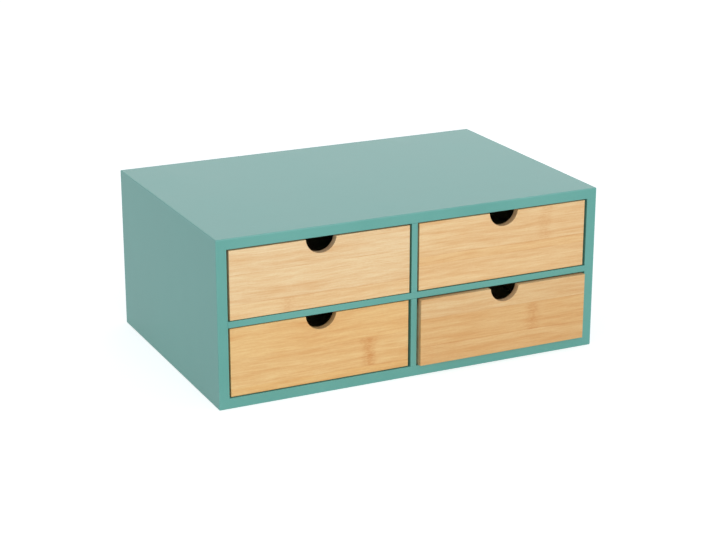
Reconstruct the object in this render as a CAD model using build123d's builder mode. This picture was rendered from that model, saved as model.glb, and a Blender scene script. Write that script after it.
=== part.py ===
from build123d import *
import os

# Desktop mini drawers: a painted carcass with four bamboo-fronted drawers, two over two.
# X runs along the width, the drawers open towards -Y, and Z is up. The origin is the middle of
# the carcass's footprint, on the surface that it stands on. All sizes are in millimetres.

# The carcass.
carcass_width = 350.0
carcass_depth = 230.0
carcass_height = 143.5
panel_thickness = 9.0  # top, bottom and sides, which are mitred at the corners
partition_thickness = 5.5  # the shelf and the centre divider
outer_edge_radius = 0.8
rim_radius = 0.4  # the eased front edges round each compartment

back_thickness = 3.0
rebate_width = 5.0  # how far the back panel's rebate is cut into each outer panel
rebate_clearance = 0.3

housing_depth = 3.0  # the grooves in the outer panels that hold the shelf and the divider
housing_setback = 6.0  # they stop this far behind the front edge, so that none shows there
housing_clearance = 0.05
lap_clearance = 0.1  # behind the shelf and the divider, and at the bottom of their halving slots

# The drawer fronts.
front_thickness = 6.0
front_side_gap = 1.8
front_top_gap = 1.1
front_bottom_gap = 0.6
front_edge_radius = 0.5
closed_recess = 1.2  # a closed front lies this far behind the carcass's front edge
notch_radius = 13.5
notch_centre_rise = 1.0  # the notch's centre lies this far above the front's top edge

# The drawer boxes.
wall_thickness = 5.0
wall_drop = 5.8  # the walls end this far below the front's top edge
wall_edge_radius = 0.5
runner_gap = 0.2  # under the walls, which slide on the shelf or on the bottom panel
rear_stop_gap = 0.3  # between a closed drawer and the back panel, which stops it
tray_thickness = 3.0
tray_rise = 4.0  # from a wall's lower edge up to the tray's groove
joint_depth = 2.5  # the rabbets and grooves that hold a drawer together
joint_clearance = 0.05

# How far each drawer stands open at rest, from its closed stop.
upper_left_opening = 1.3
upper_right_opening = 0.4
lower_left_opening = 0.0
lower_right_opening = 5.2

# The brads.
brad_diameter = 1.2
brad_head_diameter = 2.4
brad_head_height = 0.5
brad_clearance = 0.05
mitre_brad_length = 20.0
mitre_brad_depth = 1.0  # how far under the paint the mitres' headless brads are set
mitre_brad_margin = 35.0  # from the front and rear edges to the outermost of them
back_brad_length = 14.0
back_brad_margin = 25.0  # from the carcass's outer faces to the outermost of them
drawer_brad_length = 14.0
drawer_brad_margin = 12.0  # from a wall's upper and lower edges

# Places in the carcass.
front_y = -carcass_depth / 2
rear_y = carcass_depth / 2
back_inner_y = rear_y - back_thickness
middle_z = carcass_height / 2
inner_width = carcass_width - 2 * panel_thickness
inner_height = carcass_height - 2 * panel_thickness
compartment_width = (inner_width - partition_thickness) / 2
compartment_height = (inner_height - partition_thickness) / 2
housing_width = partition_thickness + 2 * housing_clearance
tongue_length = housing_depth - housing_clearance  # how far a partition enters its housings
tongue_front_y = front_y + housing_setback + housing_clearance
partition_rear_y = back_inner_y - lap_clearance
lap_y = (front_y + partition_rear_y) / 2  # where the two halving slots meet

# Places in a drawer. Its own X starts at its middle, its Y at the front's face and its Z on the
# board that it slides on.
front_width = compartment_width - 2 * front_side_gap
front_top_z = compartment_height - front_top_gap
wall_front_y = front_thickness - joint_depth + joint_clearance
wall_rear_y = back_inner_y - front_y - closed_recess - rear_stop_gap
wall_top_z = front_top_z - wall_drop
wall_height = wall_top_z - runner_gap
inside_width = front_width - 2 * wall_thickness
inside_rear_y = wall_rear_y - wall_thickness
tray_z = runner_gap + tray_rise
tray_grip = joint_depth - joint_clearance  # how far the tray enters each groove
rabbet_width = wall_thickness + joint_clearance

# The plane of the carcass's rear face, looking forward, from its middle.
rear_plane = Plane(origin=(0, rear_y, middle_z), x_dir=(1, 0, 0), z_dir=(0, -1, 0))

os.makedirs("parts", exist_ok=True)


def keep(piece, name):
    """Labels a finished piece and writes its STEP file."""
    piece.part.label = name
    export_step(piece.part, f"parts/{name}.step")


def rectangle_between(low, high, mode=Mode.ADD):
    """Draws a rectangle from its lowest corner to its highest."""
    with Locations(low):
        Rectangle(high[0] - low[0], high[1] - low[1], align=(Align.MIN, Align.MIN), mode=mode)


def corners(width, height):
    """The corners of a rectangle about the origin, anticlockwise from the lowest."""
    return [(x * width / 2, y * height / 2) for x, y in ((-1, -1), (1, -1), (1, 1), (-1, 1))]


def spread(reach, count):
    """Evenly spaced places from -reach to reach."""
    return [reach * (2 * place / (count - 1) - 1) for place in range(count)]


def mitre_brads(margin):
    """The headless brads that cross the mitres, driven in from both sides, grown by a margin."""
    places = [
        (y, z)
        for y in spread(carcass_depth / 2 - mitre_brad_margin, 3)
        for z in (panel_thickness / 2, carcass_height - panel_thickness / 2)
    ]
    head_x = carcass_width / 2 - mitre_brad_depth + margin
    with BuildPart() as brads:
        for side in (-1, 1):
            with BuildSketch(Plane.YZ.offset(side * head_x)):
                with Locations(*places):
                    Circle(brad_diameter / 2 + margin)
            extrude(amount=-side * (mitre_brad_length + 2 * margin))
    return brads


def headed_brads(planes, places, length, margin):
    """Brads driven in from each plane, their heads flush with it, grown by a margin."""
    with BuildPart() as brads:
        for plane in planes:
            for radius, reach in (
                (brad_head_diameter / 2, brad_head_height),
                (brad_diameter / 2, length),
            ):
                with BuildSketch(plane):
                    with Locations(*places):
                        Circle(radius + margin)
                extrude(amount=reach + margin)
    return brads


# The back panel's brads stand in the middle of its rebate: four along the top and along the
# bottom, and two up each side.
back_brad_width = inner_width + rebate_width
back_brad_height = inner_height + rebate_width
back_brad_places = [
    (x, z)
    for x in spread(carcass_width / 2 - back_brad_margin, 4)
    for z in (-back_brad_height / 2, back_brad_height / 2)
] + [
    (x, z)
    for x in (-back_brad_width / 2, back_brad_width / 2)
    for z in spread(inner_height / 5, 2)
]

keep(mitre_brads(0), "mitre_brads")
keep(headed_brads([rear_plane], back_brad_places, back_brad_length, 0), "back_brads")

# What is cut out of the outer panels.
mitre_brad_holes = mitre_brads(brad_clearance)
back_brad_holes = headed_brads([rear_plane], back_brad_places, back_brad_length, brad_clearance)

with BuildPart() as back_recess:
    with BuildSketch(rear_plane):
        Rectangle(inner_width + 2 * rebate_width, inner_height + 2 * rebate_width)
    extrude(amount=back_thickness)

with BuildPart() as housings:
    with BuildSketch(rear_plane):
        Rectangle(inner_width + 2 * housing_depth, housing_width)
        Rectangle(housing_width, inner_height + 2 * housing_depth)
    extrude(amount=carcass_depth - housing_setback)

# The carcass as one rounded block, which gives the outer panels their rounded edges.
with BuildPart() as envelope:
    with BuildSketch():
        Rectangle(carcass_width, carcass_depth)
    extrude(amount=carcass_height)
    fillet(envelope.edges(), outer_edge_radius)

outer_corners = corners(carcass_width, carcass_height)
inner_corners = corners(inner_width, inner_height)
outer_panels = ("bottom_panel", "right_side_panel", "top_panel", "left_side_panel")

for this, name in enumerate(outer_panels):
    following = (this + 1) % len(outer_panels)
    with BuildPart() as panel:
        with BuildSketch(rear_plane):
            with BuildLine():
                Polyline(
                    outer_corners[this],
                    outer_corners[following],
                    inner_corners[following],
                    inner_corners[this],
                    close=True,
                )
            make_face()
        extrude(amount=carcass_depth)
        add(envelope.part, mode=Mode.INTERSECT)
        front_edges = panel.edges().group_by(Axis.Y)[0]
        fillet(front_edges.sort_by_distance((0, front_y, middle_z))[0], rim_radius)
        add(back_recess.part, mode=Mode.SUBTRACT)
        add(housings.part, mode=Mode.SUBTRACT)
        add(mitre_brad_holes.part, mode=Mode.SUBTRACT)
        add(back_brad_holes.part, mode=Mode.SUBTRACT)
    keep(panel, name)

with BuildPart() as back_panel:
    with BuildSketch(rear_plane):
        Rectangle(
            inner_width + 2 * (rebate_width - rebate_clearance),
            inner_height + 2 * (rebate_width - rebate_clearance),
        )
    extrude(amount=back_thickness)
    add(back_brad_holes.part, mode=Mode.SUBTRACT)
keep(back_panel, "back_panel")

# The shelf and the divider are halved over each other: the shelf is slotted from the rear and
# the divider from the front. Their tongues start behind the front edge, with their housings.
with BuildPart() as shelf:
    with BuildSketch(Plane.XY.offset(middle_z)):
        side_x = inner_width / 2
        rectangle_between((-side_x, front_y), (side_x, partition_rear_y))
        tongue_x = side_x + tongue_length
        rectangle_between((-tongue_x, tongue_front_y), (tongue_x, partition_rear_y))
        slot_x = housing_width / 2
        slot_corners = (-slot_x, lap_y - lap_clearance), (slot_x, partition_rear_y)
        rectangle_between(*slot_corners, mode=Mode.SUBTRACT)
    extrude(amount=partition_thickness / 2, both=True)
    fillet(shelf.edges().filter_by(Axis.X).group_by(Axis.Y)[0], rim_radius)
keep(shelf, "shelf")

with BuildPart() as divider:
    with BuildSketch(Plane.YZ):
        floor_z, ceiling_z = panel_thickness, carcass_height - panel_thickness
        rectangle_between((front_y, floor_z), (partition_rear_y, ceiling_z))
        rectangle_between(
            (tongue_front_y, floor_z - tongue_length),
            (partition_rear_y, ceiling_z + tongue_length),
        )
        slot_z = housing_width / 2
        slot_corners = (front_y, middle_z - slot_z), (lap_y + lap_clearance, middle_z + slot_z)
        rectangle_between(*slot_corners, mode=Mode.SUBTRACT)
    extrude(amount=partition_thickness / 2, both=True)
    fillet(divider.edges().filter_by(Axis.Z).group_by(Axis.Y)[0], rim_radius)
keep(divider, "centre_divider")


def tray_board(ground, margin):
    """A drawer's bottom board, grown all round by a margin."""
    side_x = inside_width / 2 + tray_grip + margin
    with BuildPart() as board:
        with BuildSketch(ground.offset(tray_z - margin)):
            rectangle_between(
                (-side_x, front_thickness - tray_grip - margin),
                (side_x, inside_rear_y + tray_grip + margin),
            )
        extrude(amount=tray_thickness + 2 * margin)
    return board


def make_drawer(drawer, middle_x, floor_z, opening):
    """Makes the pieces of one drawer, which stands open this far from its closed stop."""
    face_y = front_y + closed_recess - opening
    ground = Plane(origin=(middle_x, face_y, floor_z))
    elevation = Plane(origin=ground.origin, x_dir=(1, 0, 0), z_dir=(0, -1, 0))

    keep(tray_board(ground, 0), f"{drawer}_tray")
    groove = tray_board(ground, joint_clearance)

    # Two brads go through each side wall into the end of the rear wall.
    brad_y = (inside_rear_y + wall_rear_y) / 2
    brad_planes = [
        Plane(
            origin=ground.from_local_coords((side * front_width / 2, brad_y, 0)),
            x_dir=(0, -side, 0),
            z_dir=(-side, 0, 0),
        )
        for side in (-1, 1)
    ]
    brad_places = [(0, runner_gap + drawer_brad_margin), (0, wall_top_z - drawer_brad_margin)]
    keep(headed_brads(brad_planes, brad_places, drawer_brad_length, 0), f"{drawer}_brads")
    brad_holes = headed_brads(brad_planes, brad_places, drawer_brad_length, brad_clearance)

    with BuildPart() as front:
        with BuildSketch(elevation):
            rectangle_between((-front_width / 2, front_bottom_gap), (front_width / 2, front_top_z))
            with Locations((0, front_top_z + notch_centre_rise)):
                Circle(notch_radius, mode=Mode.SUBTRACT)
        extrude(amount=-front_thickness)
        fillet(front.faces().sort_by(Axis.Y)[0].edges(), front_edge_radius)
        with BuildSketch(ground):
            with Locations((0, front_thickness - joint_depth / 2)):
                with GridLocations(front_width - rabbet_width, 0, 2, 1):
                    Rectangle(rabbet_width, joint_depth)
        extrude(amount=wall_top_z + joint_clearance, mode=Mode.SUBTRACT)
        add(groove.part, mode=Mode.SUBTRACT)
    keep(front, f"{drawer}_front")

    for side, hand in ((-1, "left"), (1, "right")):
        with BuildPart() as wall:
            with BuildSketch(ground.offset(runner_gap)):
                with Locations((side * (front_width - wall_thickness) / 2, wall_front_y)):
                    Rectangle(
                        wall_thickness,
                        wall_rear_y - wall_front_y,
                        align=(Align.CENTER, Align.MIN),
                    )
            extrude(amount=wall_height)
            fillet(wall.edges().filter_by(Axis.Y).group_by(Axis.Z)[-1], wall_edge_radius)
            add(groove.part, mode=Mode.SUBTRACT)
            add(brad_holes.part, mode=Mode.SUBTRACT)
        keep(wall, f"{drawer}_{hand}_wall")

    with BuildPart() as rear_wall:
        with BuildSketch(ground.offset(runner_gap)):
            rectangle_between((-inside_width / 2, inside_rear_y), (inside_width / 2, wall_rear_y))
        extrude(amount=wall_height)
        fillet(rear_wall.edges().filter_by(Axis.X).group_by(Axis.Z)[-1], wall_edge_radius)
        add(groove.part, mode=Mode.SUBTRACT)
        add(brad_holes.part, mode=Mode.SUBTRACT)
    keep(rear_wall, f"{drawer}_rear_wall")


column_x = (compartment_width + partition_thickness) / 2
lower_floor_z = panel_thickness
upper_floor_z = lower_floor_z + compartment_height + partition_thickness

make_drawer("upper_left", -column_x, upper_floor_z, upper_left_opening)
make_drawer("upper_right", column_x, upper_floor_z, upper_right_opening)
make_drawer("lower_left", -column_x, lower_floor_z, lower_left_opening)
make_drawer("lower_right", column_x, lower_floor_z, lower_right_opening)
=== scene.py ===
import math

import bmesh
import bpy
from mathutils import Matrix, Quaternion, Vector


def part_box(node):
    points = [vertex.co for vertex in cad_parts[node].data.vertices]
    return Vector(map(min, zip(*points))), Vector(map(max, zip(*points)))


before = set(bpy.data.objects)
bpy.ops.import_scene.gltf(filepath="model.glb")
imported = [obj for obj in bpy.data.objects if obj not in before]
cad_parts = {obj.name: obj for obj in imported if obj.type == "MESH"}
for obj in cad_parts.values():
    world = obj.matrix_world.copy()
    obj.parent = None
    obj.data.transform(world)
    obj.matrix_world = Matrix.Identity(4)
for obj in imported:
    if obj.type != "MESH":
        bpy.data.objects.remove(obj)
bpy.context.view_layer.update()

bl_info = {
    "name": "Desktop Mini Drawers",
    "version": (1, 0, 0),
    "blender": (4, 5, 0),
    "location": "View3D > Sidebar > Mini Drawers",
    "description": "Finishes a painted desktop box of bamboo-fronted drawers and sets its studio",
    "category": "Object",
}

MM = 0.001

CARCASS_BOARDS = (
    "top_panel",
    "bottom_panel",
    "left_side_panel",
    "right_side_panel",
    "shelf",
    "centre_divider",
    "back_panel",
)

# Each front is glued up from three strips, which count from below. Its glue lines and its
# knuckle, the ring across a bamboo stem, are in millimetres from its lower left corner. How dark
# the knuckle is and how warm each strip is go from 0 to 1. The grain says which stretch of bamboo
# the front is cut from.
FRONTS = {
    "upper_left": {
        "grain": 0,
        "seams": (12.6, 37.6),
        "knuckle": {"place": 50, "strip": 0, "darkness": 0.35},
        "warmth": (0.5, 0.2, 0.1),
    },
    "upper_right": {
        "grain": 0,
        "seams": (21.4, 28.9),
        "knuckle": {"place": 120, "strip": 2, "darkness": 0.25},
        "warmth": (0.3, 0.6, 0.2),
    },
    "lower_left": {
        "grain": 0,
        "seams": (6.5, 31.5),
        "knuckle": {"place": 123, "strip": 1, "darkness": 0.7},
        "warmth": (0.6, 0.2, 0.4),
    },
    "lower_right": {
        "grain": 5,
        "seams": (16.4, 41.0),
        "knuckle": {"place": 108, "strip": 1, "darkness": 0.5},
        "warmth": (0.6, 0.7, 0.2),
    },
}

SENSOR_WIDTH = 36  # the film's width in millimetres, which the camera's lens goes with


def linear(code):
    """The linear colour, with its alpha, of an sRGB hex code."""
    shares = [int(code[place : place + 2], 16) / 255 for place in (0, 2, 4)]
    return [s / 12.92 if s <= 0.04045 else ((s + 0.055) / 1.055) ** 2.4 for s in shares] + [1.0]


def colour(name, code, description):
    """A colour that a user may change."""
    return bpy.props.FloatVectorProperty(
        name=name,
        description=description,
        default=linear(code),
        size=4,
        min=0,
        max=1,
        subtype="COLOR",
    )


def length(name, millimetres, description):
    """A length that a user may change."""
    return bpy.props.FloatProperty(
        name=name,
        description=description,
        default=millimetres * MM,
        min=0,
        precision=5,
        unit="LENGTH",
    )


def share(name, default, description):
    """A part of the whole, from 0 to 1, that a user may change."""
    return bpy.props.FloatProperty(
        name=name, description=description, default=default, min=0, max=1, subtype="FACTOR"
    )


def angle(name, degrees, description):
    """An angle that a user may change."""
    return bpy.props.FloatProperty(
        name=name, description=description, default=math.radians(degrees), subtype="ANGLE"
    )


def power(name, watts, description):
    """A lamp's power that a user may change."""
    return bpy.props.FloatProperty(
        name=name, description=description, default=watts, min=0, unit="POWER"
    )


def place(name, metres, description):
    """A point that a user may change."""
    return bpy.props.FloatVectorProperty(
        name=name, description=description, default=metres, precision=4, subtype="TRANSLATION"
    )


def add(tree, kind, sockets, **settings):
    """Adds a shader node, fills its input sockets and gives the first of its outputs in use."""
    made = tree.nodes.new("ShaderNode" + kind)
    for setting, value in settings.items():
        setattr(made, setting, value)
    in_use = [socket for socket in made.inputs if socket.enabled]
    names = [socket.name for socket in in_use]
    for key, source in sockets.items():
        socket = in_use[key if isinstance(key, int) else names.index(key)]
        if isinstance(source, bpy.types.NodeSocket):
            tree.links.new(source, socket)
        else:
            socket.default_value = source
    return next((socket for socket in made.outputs if socket.enabled), None)


def new_material(name):
    """An empty node material, its tree and the place of each point of its surface."""
    material = bpy.data.materials.new(name)
    material.use_nodes = True
    tree = material.node_tree
    tree.nodes.clear()
    return material, tree, tree.nodes.new("ShaderNodeTexCoord").outputs["Object"]


def finish_with(material, nodes):
    """Gives CAD nodes their finished material."""
    for node in nodes:
        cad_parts[node].material_slots[0].material = material


# -------------------------------------------------------------------------------- paint


class PaintSettings(bpy.types.PropertyGroup):
    """The carcass's paint."""

    tint: colour("Paint", "60A599", "The paint where it lies thick")
    thin_tint: colour("Thin paint", "66A99D", "The paint where it lies thin")
    # The paler tint along the edges is partly paint drawn thin and partly a painted highlight.
    thin_paint_and_highlight_tint: colour("Edges", "7DB8AD", "The paint where it has drawn back from an edge")
    edge_width: length("Edge width", 1.1, "How far from an edge the paint is thinner")
    roughness: share("Roughness", 0.4, "How matt the paint is")
    roughness_spread: share("Roughness spread", 0.04, "How much it varies from patch to patch")
    mottle: length("Mottle", 70, "From one thin patch of paint to the next")
    orange_peel: length("Orange peel", 2.2, "From one crest of the sprayed surface to the next")
    peel_height: length("Peel height", 0.02, "How deep the dimples of the sprayed surface are")


def edge_closeness(tree, point, width, low, high):
    """How near a point is to an edge of the carcass, from 0, past a width, to 1, on the edge."""
    middle = [-(a + b) / 2 for a, b in zip(low, high)]
    half = [(b - a) / 2 for a, b in zip(low, high)]
    centred = add(tree, "Mapping", {"Vector": point, "Location": middle})
    outward = add(tree, "VectorMath", {0: centred}, operation="ABSOLUTE")
    depth = add(tree, "VectorMath", {0: half, 1: outward}, operation="SUBTRACT")
    x, y, z = add(tree, "SeparateXYZ", {"Vector": depth}).node.outputs
    nearer = add(tree, "Math", {0: x, 1: y}, operation="MINIMUM")
    farther = add(tree, "Math", {0: x, 1: y}, operation="MAXIMUM")
    middling = add(tree, "Math", {0: farther, 1: z}, operation="MINIMUM")
    second = add(tree, "Math", {0: nearer, 1: middling}, operation="MAXIMUM")
    return add(
        tree,
        "MapRange",
        {"Value": second, "From Min": 0.0, "From Max": width, "To Min": 1.0, "To Max": 0.0},
        interpolation_type="SMOOTHSTEP",
    )


def satin_paint(settings):
    """Sprayed satin acrylic on fibreboard: an even sea green with a soft sheen, a faint orange
    peel that breaks up reflections, and a paler line along the edges, partly paint drawn back
    from them and partly a painted highlight."""
    material, tree, point = new_material("satin_paint_on_fibreboard")
    patches = add(tree, "TexNoise", {"Vector": point, "Scale": 1 / settings.mottle, "Detail": 3.0})
    patch = add(tree, "MapRange", {"Value": patches, "From Min": 0.35, "From Max": 0.65})
    bodies = {"Factor": patch, "A": settings.tint, "B": settings.thin_tint}
    body = add(tree, "Mix", bodies, data_type="RGBA")

    lowest_corner, highest_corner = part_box("left_side_panel")[0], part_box("right_side_panel")[1]
    edge = edge_closeness(tree, point, settings.edge_width, lowest_corner, highest_corner)
    # Along every outer edge the paint is mixed towards a paler tint: partly thinner paint, partly
    # a painted highlight.
    thin_paint_and_highlight = add(tree, "Math", {0: edge, 1: patches}, operation="MULTIPLY")
    tints = {"Factor": thin_paint_and_highlight, "A": body, "B": settings.thin_paint_and_highlight_tint}
    tint = add(tree, "Mix", tints, data_type="RGBA")

    smoothest = settings.roughness - settings.roughness_spread
    roughest = settings.roughness + settings.roughness_spread
    sheen = {"Value": patches, "To Min": smoothest, "To Max": roughest}
    roughness = add(tree, "MapRange", sheen)
    crests = 1 / settings.orange_peel
    peel = add(tree, "TexNoise", {"Vector": point, "Scale": crests, "Detail": 1.0})
    relief = add(tree, "Bump", {"Height": peel, "Distance": settings.peel_height})
    look = {"Base Color": tint, "Roughness": roughness, "IOR": 1.5, "Normal": relief}
    add(tree, "OutputMaterial", {"Surface": add(tree, "BsdfPrincipled", look)})
    return material


class MINIDRAWERS_OT_paint_carcass(bpy.types.Operator):
    """Paint the carcass's boards"""

    bl_idname = "minidrawers.paint_carcass"
    bl_label = "Paint Carcass"

    def execute(self, context):
        finish_with(satin_paint(context.scene.minidrawers_paint), CARCASS_BOARDS)
        return {"FINISHED"}


# -------------------------------------------------------------------------------- bamboo


class BambooSettings(bpy.types.PropertyGroup):
    """The bamboo boards that the drawers' fronts are cut from."""

    upper_left: colour("Upper left", "F9E1B4", "The upper left front's strips")
    upper_right: colour("Upper right", "F7DAA8", "The upper right front's strips")
    lower_left: colour("Lower left", "F5D397", "The lower left front's strips")
    lower_right: colour("Lower right", "EED09D", "The lower right front's strips")
    warm: colour("Warm strip", "FCEED4", "What a warm strip's colour is multiplied by")
    fibre: colour("Fibre", "E0A840", "What a dark fibre's colour is multiplied by")
    knuckle: colour("Knuckle", "E0B078", "What a knuckle's colour is multiplied by")
    cut: colour("Cut edge", "FFF7FF", "What a sawn edge's colour is multiplied by")
    fibre_length: length("Fibre length", 18, "How long a fibre shows in the face")
    fibre_width: length("Fibre width", 0.8, "From one fibre to the next")
    streak_length: length("Streak length", 75, "How long a streak of darker fibres is")
    streak_width: length("Streak width", 4.5, "How wide a streak of darker fibres is")
    bend_spacing: length("Bend spacing", 60, "From one slow bend of the grain to the next")
    bend: length("Bend", 1.5, "How far a slow bend moves the grain to each side")
    fleck_length: length("Fleck length", 2.4, "How long a fleck is along the board")
    fleck_width: length("Fleck width", 0.9, "How wide a fleck is")
    seam_width: length("Seam width", 0.5, "How far a glue line shows to each side, widened")
    knuckle_width: length("Knuckle width", 10, "How far a knuckle's band reaches to each side")
    sway_spacing: length("Sway spacing", 7, "From one sway of a knuckle's band to the next")
    sway: length("Sway", 4, "How far a knuckle's band sways to each side")
    cloud_strength: share("Clouds", 0.08, "How strongly slow clouds darken the board")
    fade_strength: share("Fade", 0.08, "How strongly the board darkens towards its right end")
    fibre_strength: share("Fibres", 0.33, "How strongly the fibres darken the board")
    streak_strength: share("Streaks", 0.40, "How strongly the streaks darken the board")
    fleck_strength: share("Flecks", 0.13, "How strongly the flecks darken the board")
    seam_strength: share("Glue lines", 0.3, "How strongly a glue line darkens the board")
    edge_depth: length("Edge depth", 0.9, "How far behind the face a sawn edge begins")
    edge_start: share("Edge start", 0.6, "The share of that depth at which the face ends")
    roughness: share("Roughness", 0.45, "How matt the clear lacquer is")
    pale_gloss: share("Pale grain's gloss", 0.06, "How much less matt the palest grain is")
    dark_dullness: share("Dark grain's dullness", 0.08, "How much more matt the darkest fibre is")
    relief: length("Relief", 0.03, "How deep the grain is under the lacquer")


def pressed_bamboo(drawer, board):
    """Flat-pressed bamboo under matt lacquer: three broad pale strips with fine fibres along them,
    a brownish knuckle across one strip, faint glue lines and slightly pinker sawn edges."""
    material, tree, point = new_material(drawer + "_pressed_bamboo")
    front = FRONTS[drawer]
    low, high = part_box(drawer + "_front")
    near_corner = [-side for side in low]
    local = add(tree, "Mapping", {"Vector": point, "Location": near_corner})
    along, deep, up = add(tree, "SeparateXYZ", {"Vector": local}).node.outputs

    # Each strip's grain is read at its own place, so that no fibre crosses a glue line.
    lower_seam, upper_seam = (seam * MM for seam in front["seams"])
    over_lower = add(tree, "Math", {0: up, 1: lower_seam}, operation="GREATER_THAN")
    over_upper = add(tree, "Math", {0: up, 1: upper_seam}, operation="GREATER_THAN")
    strip = add(tree, "Math", {0: over_lower, 1: over_upper}, operation="ADD")
    bends = 1 / board.bend_spacing
    slow = add(tree, "TexNoise", {"Vector": point, "Scale": bends, "Detail": 1.0})
    drift = add(tree, "MapRange", {"Value": slow, "To Min": -board.bend, "To Max": board.bend})
    stretch = add(tree, "Math", {0: strip, 1: front["grain"]}, operation="ADD")
    shift = add(tree, "CombineXYZ", {"X": stretch, "Y": stretch, "Z": drift})
    moved = add(tree, "VectorMath", {0: point, 1: shift}, operation="ADD")
    fibre_scale = [1 / board.fibre_length, 1 / board.fibre_width, 1 / board.fibre_width]
    fibre_place = add(tree, "Mapping", {"Vector": moved, "Scale": fibre_scale})
    fibres = add(tree, "TexNoise", {"Vector": fibre_place, "Scale": 1.0, "Detail": 4.0})
    streak_scale = [1 / board.streak_length, 1 / board.streak_width, 1 / board.streak_width]
    streak_place = add(tree, "Mapping", {"Vector": moved, "Scale": streak_scale})
    streaks = add(tree, "TexNoise", {"Vector": streak_place, "Scale": 1.0, "Detail": 3.0})

    # How warm the strip is, from below upwards.
    lowest, middle, highest = front["warmth"]
    first_step = {0: over_lower, 1: middle - lowest, 2: lowest}
    lower_warmth = add(tree, "Math", first_step, operation="MULTIPLY_ADD")
    second_step = {0: over_upper, 1: highest - middle, 2: lower_warmth}
    warmth = add(tree, "Math", second_step, operation="MULTIPLY_ADD")

    # Whether the point is on a glue line, as far as the streaks let the line show.
    to_lower = add(tree, "Math", {0: up, 1: lower_seam, 2: board.seam_width}, operation="COMPARE")
    to_upper = add(tree, "Math", {0: up, 1: upper_seam, 2: board.seam_width}, operation="COMPARE")
    on_seam = add(tree, "Math", {0: to_lower, 1: to_upper}, operation="MAXIMUM")
    seam_shows = add(tree, "MapRange", {"Value": streaks, "From Min": 0.45, "From Max": 0.6})
    seam = add(tree, "Math", {0: on_seam, 1: seam_shows}, operation="MULTIPLY")

    # The knuckle: a swaying band, flecked with brown, across its own strip only.
    fleck_scale = [1 / board.fleck_length, 1 / board.fleck_width, 1 / board.fleck_width]
    fleck_place = add(tree, "Mapping", {"Vector": point, "Scale": fleck_scale})
    flecks = add(tree, "TexNoise", {"Vector": fleck_place, "Scale": 1.0, "Detail": 2.0})
    sways = 1 / board.sway_spacing
    waver = add(tree, "TexNoise", {"Vector": point, "Scale": sways, "Detail": 1.0})
    sway = add(tree, "MapRange", {"Value": waver, "To Min": -board.sway, "To Max": board.sway})
    swayed = add(tree, "Math", {0: along, 1: sway}, operation="ADD")
    own = front["knuckle"]
    offset = add(tree, "Math", {0: swayed, 1: own["place"] * MM}, operation="SUBTRACT")
    distance = add(tree, "Math", {0: offset}, operation="ABSOLUTE")
    band = {"Value": distance, "From Min": 0.0, "From Max": board.knuckle_width}
    band.update({"To Min": 1.0, "To Max": 0.0})
    nearness = add(tree, "MapRange", band, interpolation_type="SMOOTHSTEP")
    own_strip = add(tree, "Math", {0: strip, 1: own["strip"], 2: 0.5}, operation="COMPARE")
    ring = add(tree, "Math", {0: nearness, 1: own_strip}, operation="MULTIPLY")
    flecked = add(tree, "MapRange", {"Value": flecks, "From Min": 0.3, "From Max": 0.75})
    specked = add(tree, "MapRange", {"Value": flecked, "To Min": 0.35, "To Max": 1.0})
    knuckle = add(tree, "Math", {0: ring, 1: specked}, operation="MULTIPLY")

    # The sanded face lies before the sawn edges, which the notch and the ends show.
    face_end = board.edge_depth * board.edge_start
    cut = {"Value": deep, "From Min": face_end, "From Max": board.edge_depth}
    edge = add(tree, "MapRange", cut)

    cloud = add(tree, "MapRange", {"Value": slow, "From Min": 0.3, "From Max": 0.7})
    rightness = add(tree, "MapRange", {"Value": along, "From Max": high[0] - low[0]})
    dark_fibre = add(tree, "MapRange", {"Value": fibres, "From Min": 0.35, "From Max": 0.75})
    dark_streak = add(tree, "MapRange", {"Value": streaks, "From Min": 0.40, "From Max": 0.75})
    # Where each shade lies, what it multiplies the board by, and how strongly.
    shades = (
        (warmth, board.warm, 1.0),
        (cloud, board.fibre, board.cloud_strength),
        (rightness, board.fibre, board.fade_strength),
        (dark_fibre, board.fibre, board.fibre_strength),
        (dark_streak, board.fibre, board.streak_strength),
        (flecked, board.fibre, board.fleck_strength),
        (seam, board.fibre, board.seam_strength),
        (knuckle, board.knuckle, own["darkness"]),
        (edge, board.cut, 1.0),
    )
    tint = getattr(board, drawer)
    for factor, shade, strength in shades:
        weaker = add(tree, "Math", {0: factor, 1: strength}, operation="MULTIPLY")
        mixed = {"Factor": weaker, "A": tint, "B": shade}
        tint = add(tree, "Mix", mixed, data_type="RGBA", blend_type="MULTIPLY")

    smoothest = board.roughness - board.pale_gloss
    roughest = board.roughness + board.dark_dullness
    roughness = add(tree, "MapRange", {"Value": fibres, "To Min": smoothest, "To Max": roughest})
    relief = add(tree, "Bump", {"Height": fibres, "Distance": board.relief})
    look = {"Base Color": tint, "Roughness": roughness, "IOR": 1.5, "Normal": relief}
    add(tree, "OutputMaterial", {"Surface": add(tree, "BsdfPrincipled", look)})
    return material


class MINIDRAWERS_OT_face_drawers(bpy.types.Operator):
    """Give each drawer's front its own piece of bamboo board"""

    bl_idname = "minidrawers.face_drawers"
    bl_label = "Face Drawers"

    def execute(self, context):
        for drawer in FRONTS:
            bamboo = pressed_bamboo(drawer, context.scene.minidrawers_bamboo)
            finish_with(bamboo, [drawer + "_front"])
        return {"FINISHED"}


# -------------------------------------------------------------------------------- boxes


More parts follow.
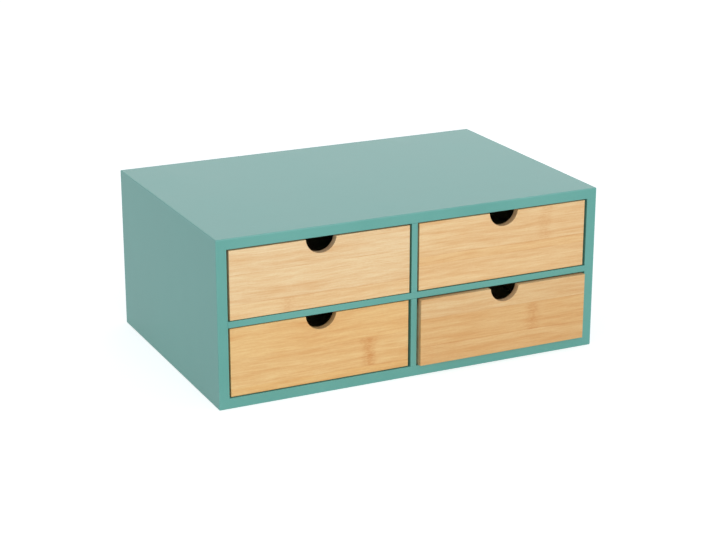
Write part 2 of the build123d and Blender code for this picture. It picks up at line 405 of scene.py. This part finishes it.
class BoxSettings(bpy.types.PropertyGroup):
    """The bare wood of the drawers' boxes, and the brads."""

    wall_tint: colour("Walls", "E3CBA0", "The walls' early wood")
    wall_ring: colour("Walls' rings", "D0B082", "The walls' late wood")
    tray_tint: colour("Trays", "E6D3AE", "The trays' early wood")
    tray_ring: colour("Trays' rings", "D9C093", "The trays' late wood")
    ring_width: length("Ring width", 6, "From one ring of the walls' wood to the next")
    figure_width: length("Figure width", 22, "From one ring to the next in the peeled veneer")
    pore_length: length("Pore length", 7, "How long a pore shows in the face")
    pore_width: length("Pore width", 0.5, "How wide a pore shows, drawn twice as wide as it is")
    pore_depth: length("Pore depth", 0.04, "How deep a pore is")
    pore_strength: share("Pores", 0.5, "How strongly the pores darken the wood")
    bends_per_ring: share("Bends per ring", 0.35, "How many bends fall in a ring's width")
    bend_in_rings: bpy.props.FloatProperty(
        name="Bend in rings",
        description="How many ring widths a bend moves the grain by",
        default=2.2,
        min=0,
    )
    smoothest: share("Smoothest", 0.62, "How matt the smoothest of the planed wood is")
    roughest: share("Roughest", 0.78, "How matt the roughest of the planed wood is")
    steel: colour("Brads", "C4C5C6", "The brads' steel")
    brightest: share("Brightest", 0.22, "How matt the brightest of the wire is")
    dullest: share("Dullest", 0.42, "How matt the dullest of the wire is")
    scratch_length: length("Scratch length", 3, "How long a scratch of the drawn wire is")
    scratch_width: length("Scratch width", 0.4, "How wide a scratch is, widened to show")
    scratch_depth: length("Scratch depth", 0.01, "How deep a scratch is")


def bare_wood(name, tint, ring, ring_width, stretch, settings):
    """Bare planed wood: pale, matt and slightly rough, with late wood in soft darker lines that
    run along the board, and short dark pores. The stretch says how many times the grain is drawn
    out along X, Y and Z."""
    material, tree, point = new_material(name)
    ring_scale = [1 / (ring_width * part) for part in stretch]
    ring_place = add(tree, "Mapping", {"Vector": point, "Scale": ring_scale})
    bending = {"Vector": ring_place, "Scale": settings.bends_per_ring, "Detail": 2.0}
    bend = add(tree, "TexNoise", bending).node.outputs["Color"]
    spans = [settings.bend_in_rings] * 3
    bent = add(tree, "VectorMath", {0: bend, 1: spans, 2: ring_place}, operation="MULTIPLY_ADD")
    rings = add(tree, "TexNoise", {"Vector": bent, "Scale": 1.0, "Detail": 3.0})
    late = add(tree, "MapRange", {"Value": rings, "From Min": 0.42, "From Max": 0.68})
    body = add(tree, "Mix", {"Factor": late, "A": tint, "B": ring}, data_type="RGBA")

    longest = max(stretch)
    pore_scale = [
        1 / (settings.pore_length if part == longest else settings.pore_width) for part in stretch
    ]
    pore_place = add(tree, "Mapping", {"Vector": point, "Scale": pore_scale})
    specks = add(tree, "TexNoise", {"Vector": pore_place, "Scale": 1.0, "Detail": 1.0})
    pores = add(tree, "MapRange", {"Value": specks, "From Min": 0.62, "From Max": 0.75})
    faint = add(tree, "Math", {0: pores, 1: settings.pore_strength}, operation="MULTIPLY")
    surface = add(tree, "Mix", {"Factor": faint, "A": body, "B": ring}, data_type="RGBA")

    relief = add(tree, "Bump", {"Height": specks, "Distance": -settings.pore_depth})
    sheen = {"Value": rings, "To Min": settings.smoothest, "To Max": settings.roughest}
    roughness = add(tree, "MapRange", sheen)
    look = {"Base Color": surface, "Roughness": roughness, "IOR": 1.5, "Normal": relief}
    add(tree, "OutputMaterial", {"Surface": add(tree, "BsdfPrincipled", look)})
    return material


class MINIDRAWERS_OT_finish_boxes(bpy.types.Operator):
    """Finish the drawers' walls and trays"""

    bl_idname = "minidrawers.finish_boxes"
    bl_label = "Finish Boxes"

    def execute(self, context):
        box = context.scene.minidrawers_box
        wall = (box.wall_tint, box.wall_ring, box.ring_width)
        tray = (box.tray_tint, box.tray_ring, box.figure_width)
        # The grain is drawn out along each board: front to back in a side wall, and across in a
        # rear wall and in a tray.
        sides = bare_wood("bare_paulownia_lengthways", *wall, (1.2, 16, 1), box)
        rears = bare_wood("bare_paulownia_crossways", *wall, (16, 1.2, 1), box)
        trays = bare_wood("poplar_plywood", *tray, (9, 1, 1), box)
        for drawer in FRONTS:
            finish_with(sides, [drawer + "_left_wall", drawer + "_right_wall"])
            finish_with(rears, [drawer + "_rear_wall"])
            finish_with(trays, [drawer + "_tray"])
        return {"FINISHED"}


def bright_steel(settings):
    """Bright drawn steel wire: grey metal whose reflections are drawn out along fine scratches."""
    material, tree, point = new_material("bright_steel_wire")
    sides = (settings.scratch_width, settings.scratch_length, settings.scratch_width)
    scratch_scale = [1 / side for side in sides]
    scratch_place = add(tree, "Mapping", {"Vector": point, "Scale": scratch_scale})
    scratches = add(tree, "TexNoise", {"Vector": scratch_place, "Scale": 1.0, "Detail": 2.0})
    sheen = {"Value": scratches, "To Min": settings.brightest, "To Max": settings.dullest}
    roughness = add(tree, "MapRange", sheen)
    relief = add(tree, "Bump", {"Height": scratches, "Distance": settings.scratch_depth})
    look = {"Base Color": settings.steel, "Metallic": 1.0, "Roughness": roughness}
    look["Normal"] = relief
    add(tree, "OutputMaterial", {"Surface": add(tree, "BsdfPrincipled", look)})
    return material


class MINIDRAWERS_OT_finish_brads(bpy.types.Operator):
    """Finish the brads that hold the boards together"""

    bl_idname = "minidrawers.finish_brads"
    bl_label = "Finish Brads"

    def execute(self, context):
        groups = ["mitre_brads", "back_brads"] + [drawer + "_brads" for drawer in FRONTS]
        finish_with(bright_steel(context.scene.minidrawers_box), groups)
        return {"FINISHED"}


# -------------------------------------------------------------------------------- stage


class StageSettings(bpy.types.PropertyGroup):
    """The floor, the light and the camera."""

    background: colour("Background", "FFFFFF", "What lies behind the drawers")
    floor_tint: colour("Floor", "D2D2D0", "The floor's own colour")
    floor_lift: share("Floor's lift", 0.65, "How much paler the floor is seen than it is lit")
    floor_width: length("Floor width", 12000, "How wide and deep the floor is")
    room_tint: colour("Room's tint", "ECF4FF", "The colour of the light from all round")
    room_light: share("Room light", 0.64, "How much light comes from all round")
    front_power: power("Front lamp", 35.5, "The power of the soft lamp before the drawers")
    front_width: length("Front lamp's width", 1600, "How wide and high the front lamp is")
    front_place: place("Front lamp's place", (-0.3, -2.7, 0.7), "Where the front lamp hangs")
    side_power: power("Side lamp", 7, "The power of the soft lamp on the left")
    side_width: length("Side lamp's width", 1600, "How wide and high the side lamp is")
    side_place: place("Side lamp's place", (-2.6, 1.3, 1.0), "Where the side lamp hangs")
    back_power: power("Back lamp", 8, "The power of the soft lamp whose sheen the top shows")
    back_width: length("Back lamp's width", 2000, "How wide and high the back lamp is")
    back_place: place("Back lamp's place", (1.4, 2.7, 1.2), "Where the back lamp hangs")
    lamps_aim: place("Lamps' aim", (0, 0, 0.07), "What the lamps point at")
    camera_place: place("Camera", (-0.6629, -1.3876, 0.5729), "Where the camera stands")
    camera_aim: place("Camera's aim", (-0.03065, -0.07091, 0.08535), "What the camera points at")
    camera_roll: angle("Camera's roll", 0.04, "How far the camera leans")
    lens: bpy.props.FloatProperty(
        name="Lens", description="The camera's focal length", default=92.05, min=1, unit="CAMERA"
    )


def whether_seen(tree):
    """1 for a ray that shows the surface, directly, mirrored or through glass, and 0 for a ray
    that only gathers its light."""
    path = tree.nodes.new("ShaderNodeLightPath").outputs
    shown = {0: path["Is Camera Ray"], 1: path["Is Glossy Ray"]}
    mirrored = add(tree, "Math", shown, operation="MAXIMUM")
    through = {0: mirrored, 1: path["Is Transmission Ray"]}
    return add(tree, "Math", through, operation="MAXIMUM")


def studio_floor(settings):
    """Matt pale studio paper: white where it is lit, with a soft shadow under the drawers."""
    material, tree, _ = new_material("studio_paper")
    seen = whether_seen(tree)
    lift = add(tree, "Math", {0: seen, 1: settings.floor_lift}, operation="MULTIPLY")
    lit = add(tree, "BsdfDiffuse", {"Color": settings.floor_tint})
    glow = add(tree, "Emission", {"Color": settings.background, "Strength": lift})
    add(tree, "OutputMaterial", {"Surface": add(tree, "AddShader", {0: lit, 1: glow})})
    return material


def pale_room(settings):
    """A world that is white where it is seen or mirrored, and lights at its own lower level."""
    world = bpy.data.worlds.new("pale_room")
    world.use_nodes = True
    tree = world.node_tree
    tree.nodes.clear()
    seen = whether_seen(tree)
    strength = add(tree, "MapRange", {"Value": seen, "To Min": settings.room_light, "To Max": 1.0})
    tints = {"Factor": seen, "A": settings.room_tint, "B": settings.background}
    tint = add(tree, "Mix", tints, data_type="RGBA")
    back = add(tree, "Background", {"Color": tint, "Strength": strength})
    add(tree, "OutputWorld", {"Surface": back})
    return world


def stand(context, made, where, aim, roll=0.0):
    """Adds a lamp or a camera to the scene and points it at its aim."""
    holder = bpy.data.objects.new(made.name, made)
    towards = (Vector(aim) - Vector(where)).to_track_quat("-Z", "Y")
    turned = towards @ Quaternion((0, 0, 1), roll)
    holder.matrix_world = Matrix.Translation(where) @ turned.to_matrix().to_4x4()
    context.scene.collection.objects.link(holder)
    return holder


class MINIDRAWERS_OT_set_stage(bpy.types.Operator):
    """Set up the floor, the light and the camera"""

    bl_idname = "minidrawers.set_stage"
    bl_label = "Set Stage"

    def execute(self, context):
        stage = context.scene.minidrawers_stage

        shape = bmesh.new()
        bmesh.ops.create_grid(shape, x_segments=1, y_segments=1, size=stage.floor_width / 2)
        mesh = bpy.data.meshes.new("studio_floor")
        shape.to_mesh(mesh)
        shape.free()
        mesh.materials.append(studio_floor(stage))
        floor = bpy.data.objects.new("studio_floor", mesh)
        context.scene.collection.objects.link(floor)

        context.scene.world = pale_room(stage)
        for side in ("front", "side", "back"):
            lamp = bpy.data.lights.new(side + "_lamp", "AREA")
            lamp.energy = getattr(stage, side + "_power")
            lamp.size = getattr(stage, side + "_width")
            holder = stand(context, lamp, getattr(stage, side + "_place"), stage.lamps_aim)
            holder.visible_camera = False

        camera = bpy.data.cameras.new("camera")
        camera.sensor_fit = "HORIZONTAL"
        camera.sensor_width = SENSOR_WIDTH
        camera.lens = stage.lens
        holder = stand(context, camera, stage.camera_place, stage.camera_aim, stage.camera_roll)
        context.scene.camera = holder
        context.scene.view_settings.view_transform = "Standard"
        return {"FINISHED"}


# -------------------------------------------------------------------------------- add-on

SETTINGS = {
    "minidrawers_paint": PaintSettings,
    "minidrawers_bamboo": BambooSettings,
    "minidrawers_box": BoxSettings,
    "minidrawers_stage": StageSettings,
}
OPERATORS = (
    MINIDRAWERS_OT_paint_carcass,
    MINIDRAWERS_OT_face_drawers,
    MINIDRAWERS_OT_finish_boxes,
    MINIDRAWERS_OT_finish_brads,
    MINIDRAWERS_OT_set_stage,
)


class MINIDRAWERS_PT_panel(bpy.types.Panel):
    """The mini drawers' steps and settings"""

    bl_label = "Mini Drawers"
    bl_idname = "MINIDRAWERS_PT_panel"
    bl_space_type = "VIEW_3D"
    bl_region_type = "UI"
    bl_category = "Mini Drawers"

    def draw(self, context):
        for operator in OPERATORS:
            self.layout.operator(operator.bl_idname)
        for name, group in SETTINGS.items():
            column = self.layout.column()
            column.label(text=group.__doc__)
            for key in group.__annotations__:
                column.prop(getattr(context.scene, name), key)


def register():
    for cls in (*SETTINGS.values(), *OPERATORS, MINIDRAWERS_PT_panel):
        bpy.utils.register_class(cls)
    for name, group in SETTINGS.items():
        setattr(bpy.types.Scene, name, bpy.props.PointerProperty(type=group))


def unregister():
    for name in SETTINGS:
        delattr(bpy.types.Scene, name)
    for cls in reversed((*SETTINGS.values(), *OPERATORS, MINIDRAWERS_PT_panel)):
        bpy.utils.unregister_class(cls)


def main():
    """Finishes the drawers and sets their stage."""
    register()
    bpy.ops.minidrawers.paint_carcass()
    bpy.ops.minidrawers.face_drawers()
    bpy.ops.minidrawers.finish_boxes()
    bpy.ops.minidrawers.finish_brads()
    bpy.ops.minidrawers.set_stage()


if __name__ == "__main__":
    main()
